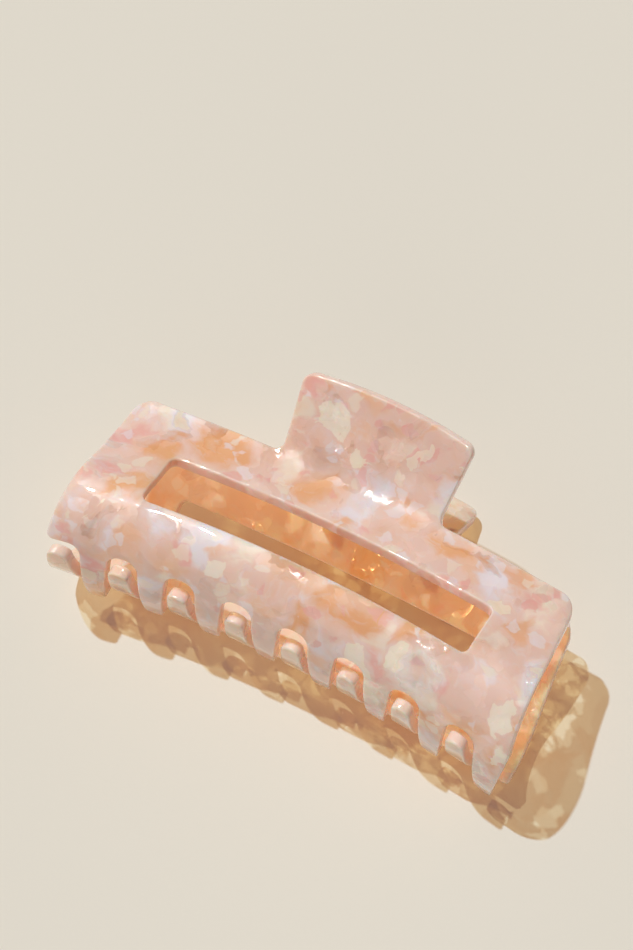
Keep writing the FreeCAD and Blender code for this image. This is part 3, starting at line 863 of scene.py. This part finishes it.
turned = steel("turned_pin_steel", 206, (6.0, 0.4, 0.4), 0.18, 0.34)
drawn = steel("drawn_wire_steel", 196, (1.0, 1.0, 1.0), 0.24, 0.42)
pin_piece.data.materials.append(turned)
spring_piece.data.materials.append(drawn)
print("steel finishes on", pin_piece.name, "and", spring_piece.name)

# %% [markdown]
# ## Floor
# The clip lies on pale, slightly toothed paper. One large sheet reaches past the view, so no horizon
# shows. It is matt: paper scatters light evenly, and a faint mottling keeps it from looking like paint.

# %% Paper floor
HALF_SHEET = 1.5
corners = np.array([(-1, -1, 0), (1, -1, 0), (1, 1, 0), (-1, 1, 0)]) * HALF_SHEET
floor = mesh_piece("floor", corners, np.array([[0, 1, 2, 3]]))
material, make = new_finish("pale_paper")
own = make("ShaderNodeTexCoord").outputs["Object"]
fibre = make("ShaderNodeTexNoise", {"Vector": own, "Scale": 1400.0, "Detail": 3.0}).outputs["Fac"]
cloud = make("ShaderNodeTexNoise", {"Vector": own, "Scale": 7.0, "Detail": 1.0}).outputs["Fac"]
paper_tone = mixed(make, cloud, srgb(224, 220, 211), srgb(227, 223, 213))
paper_tone = mixed(make, maths(make, "MULTIPLY", fibre, 0.06), paper_tone, srgb(206, 200, 188))
tooth = make("ShaderNodeBump", {"Height": fibre, "Strength": 0.1, "Distance": 0.0001}).outputs["Normal"]
paper = make("ShaderNodeBsdfPrincipled", {
    "Base Color": paper_tone,
    "Roughness": 0.9,
    "Specular IOR Level": 0.1,
    "Normal": tooth,
})
make("ShaderNodeOutputMaterial", {"Surface": paper.outputs[0]})
floor.data.materials.append(material)
floor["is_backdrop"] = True
print("floor", 2 * HALF_SHEET, "m square")

# %% [markdown]
# ## Light
# One high sun from the left gives the clear shadow and the glints. An even pale sky and a broad, warm
# fill from the front light the faces that turn away from it. All together light the floor to about its
# own colour, so that a finish renders about as it is written.

# %% Sky, sun and fill
world = bpy.data.worlds.new("studio")
bpy.context.scene.world = world
world.use_nodes = True
tree = world.node_tree
tree.nodes.clear()
sky = tree.nodes.new("ShaderNodeBackground")
sky.inputs["Color"].default_value = srgb(236, 238, 242)
sky.inputs["Strength"].default_value = 0.14
world_out = tree.nodes.new("ShaderNodeOutputWorld")
tree.links.new(sky.outputs[0], world_out.inputs[0])


def sun_lamp(name, energy, spread, colour, toward):
    """A lamp at infinity: its energy, its apparent size in degrees, its tint and where it stands."""
    lamp = bpy.data.lights.new(name, "SUN")
    lamp.energy, lamp.angle, lamp.color = energy, np.radians(spread), colour
    holder = bpy.data.objects.new(name, lamp)
    bpy.context.scene.collection.objects.link(holder)
    holder.rotation_euler = Vector(toward).to_track_quat("Z", "Y").to_euler()
    print(name, "stands", round(np.degrees(np.arcsin(Vector(toward).normalized().z)), 1), "degrees high")


sun_lamp("sun", 2.8, 1.2, (1.0, 0.97, 0.92), (-0.42, 0.12, 1.0))
sun_lamp("fill", 0.3, 50.0, (1.0, 0.92, 0.86), (0.2, -1.0, 0.42))

# %% [markdown]
# ## Camera
# The view looks down on the clip from its right, with a long lens from about two thirds of a metre.
# The camera's axes are written as a matrix: away from the subject, right and up, turned by a small roll.

# %% Camera
AZIMUTH, ELEVATION, ROLL = np.radians([32.183, 64.532, -4.488])
TARGET = np.array([-17.26, 22.52, 0.0])
DISTANCE = 654.42
LENS_LENGTH, SENSOR = 109.7, 36.0

away = np.array([
    np.sin(AZIMUTH) * np.cos(ELEVATION),
    -np.cos(AZIMUTH) * np.cos(ELEVATION),
    np.sin(ELEVATION),
])
level = np.array([np.cos(AZIMUTH), np.sin(AZIMUTH), 0.0])
upright = np.cross(away, level)
right = np.cos(ROLL) * level + np.sin(ROLL) * upright
up = -np.sin(ROLL) * level + np.cos(ROLL) * upright
eye = TARGET * MM + DISTANCE * MM * away
pose = np.eye(4)
pose[:3, 0], pose[:3, 1], pose[:3, 2], pose[:3, 3] = right, up, away, eye
lens = bpy.data.cameras.new("camera")
lens.sensor_fit = "VERTICAL"
lens.sensor_height = SENSOR
lens.lens = LENS_LENGTH
lens.clip_start, lens.clip_end = 0.01, 10.0
camera = bpy.data.objects.new("camera", lens)
camera.matrix_world = Matrix(pose.tolist())
bpy.context.scene.collection.objects.link(camera)
bpy.context.scene.camera = camera
bpy.context.scene.view_settings.view_transform = "Standard"
print("camera", np.round(eye, 3))

# %% [markdown]
# ## Sizes, and the end
# Both boxes, of the imported solids and of the dressed clip, are measured, and how far apart they lie is
# printed. The dressed clip may not grow past the imported solids.

# %% Measure the sizes and finish
visual_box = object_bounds()
sizes = {"cad": [list(map(float, c)) for c in cad_box], "visual": [list(map(float, c)) for c in visual_box]}
margin = np.abs(np.array(sizes["cad"]) - sizes["visual"]) / MM
print("inside the packed box by", np.round(margin, 2), "mm")
